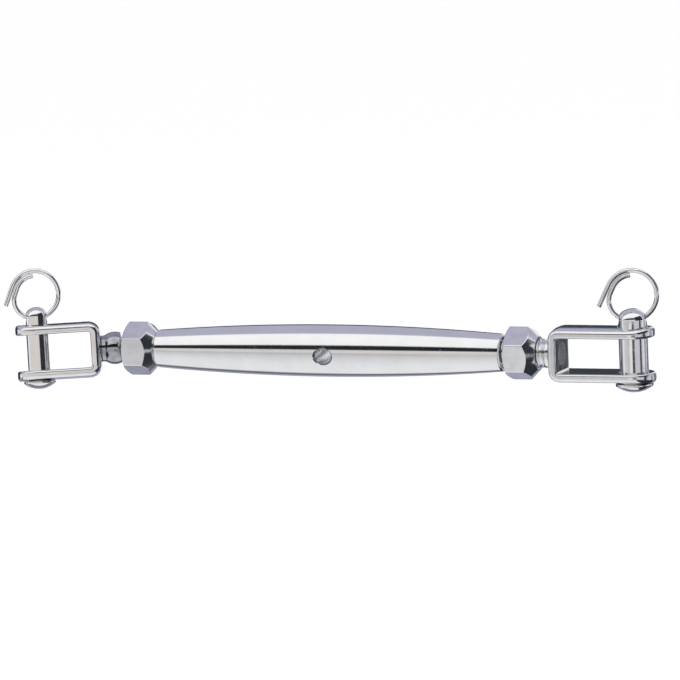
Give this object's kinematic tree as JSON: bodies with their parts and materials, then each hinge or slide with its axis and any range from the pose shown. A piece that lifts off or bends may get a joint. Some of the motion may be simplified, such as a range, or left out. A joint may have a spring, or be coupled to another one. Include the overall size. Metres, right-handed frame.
{
  "type": "shroud adjuster",
  "caption": "Closed-body rigging screw with a bellied barrel, threaded studs, lock nuts, a fixed fork, a fork on a ball joint, clevis pins and split rings.",
  "frame": {"origin": "centre of the bar hole, on the barrel's axis at its middle", "axes": "+X along the barrel towards the fixed fork, +Z along the fixed fork's clevis pin, from its head to its drilled end"},
  "size_m": [0.1873, 0.0214, 0.0342],
  "materials": {
    "polished_barrel": "mirror-polished stainless steel, turned lengthwise",
    "polished_fork": "polished stainless steel strap",
    "polished_pin": "polished stainless steel, turned",
    "polished_nut": "polished stainless steel, machined flats",
    "thread_steel": "stainless steel thread, bright on the crests",
    "spring_wire": "bright stainless spring wire"
  },
  "bodies": {
    "fixed_fork": {"fixed_fork": "polished_fork", "fixed_fork_stud": "thread_steel"},
    "fixed_end_lock_nut": {"fixed_end_lock_nut": "polished_nut"},
    "barrel": {"barrel": "polished_barrel"},
    "ball_stud": {"ball_stud": "thread_steel"},
    "ball_end_lock_nut": {"ball_end_lock_nut": "polished_nut"},
    "ball_fork": {"ball_fork": "polished_fork", "ball_socket": "polished_fork"},
    "fixed_fork_pin": {"fixed_fork_pin": "polished_pin"},
    "fixed_fork_ring": {"fixed_fork_ring": "spring_wire"},
    "ball_fork_pin": {"ball_fork_pin": "polished_pin"},
    "ball_fork_ring": {"ball_fork_ring": "spring_wire"}
  },
  "joints": [
    {"name": "fixed_nut_travel", "type": "slide", "parent": "fixed_fork", "child": "fixed_end_lock_nut", "axis": [-1, 0, 0], "range_m": [-0.0013, 0.0251]},
    {"name": "barrel_turn", "type": "hinge", "parent": "fixed_end_lock_nut", "child": "barrel", "pos_m": [0, 0, 0], "axis": [-1, 0, 0], "range_deg": [-361, 7201]},
    {"name": "ball_stud_travel", "type": "slide", "parent": "fixed_fork", "child": "ball_stud", "axis": [-1, 0, 0], "range_m": [-0.0025, 0.05]},
    {"name": "ball_nut_travel", "type": "slide", "parent": "ball_stud", "child": "ball_end_lock_nut", "axis": [1, 0, 0], "range_m": [-0.0013, 0.0251]},
    {"name": "ball_fork_swing", "type": "hinge", "parent": "ball_stud", "child": "ball_fork", "pos_m": [-0.0633, 0, 0], "axis": [-0.0691, 0.1229, 0.99], "range_deg": [-40, 1]},
    {"name": "fixed_pin_turn", "type": "hinge", "parent": "fixed_fork", "child": "fixed_fork_pin", "pos_m": [0.08735, 0, 0], "axis": [0, 0, 1], "continuous": true},
    {"name": "ball_pin_turn", "type": "hinge", "parent": "ball_fork", "child": "ball_fork_pin", "pos_m": [-0.08319, -0.00732, -0.00048], "axis": [-0.0691, 0.1229, 0.99], "continuous": true},
    {"name": "fixed_ring_swing", "type": "hinge", "parent": "fixed_fork_pin", "child": "fixed_fork_ring", "pos_m": [0.08735, 0, 0.01], "axis": [0.9397, 0.342, 0], "range_deg": [-90, 90]},
    {"name": "ball_ring_swing", "type": "hinge", "parent": "ball_fork_pin", "child": "ball_fork_ring", "pos_m": [-0.08387, -0.00611, 0.00927], "axis": [0.9383, 0.3452, 0.0227], "range_deg": [-90, 90]}
  ],
  "couplings": [
    {"joint": "barrel_turn", "follows": "ball_stud_travel", "rad_per_m": 2513.3},
    {"joint": "fixed_nut_travel", "follows": "ball_stud_travel", "ratio": 0.5},
    {"joint": "ball_nut_travel", "follows": "ball_stud_travel", "ratio": 0.5}
  ]
}
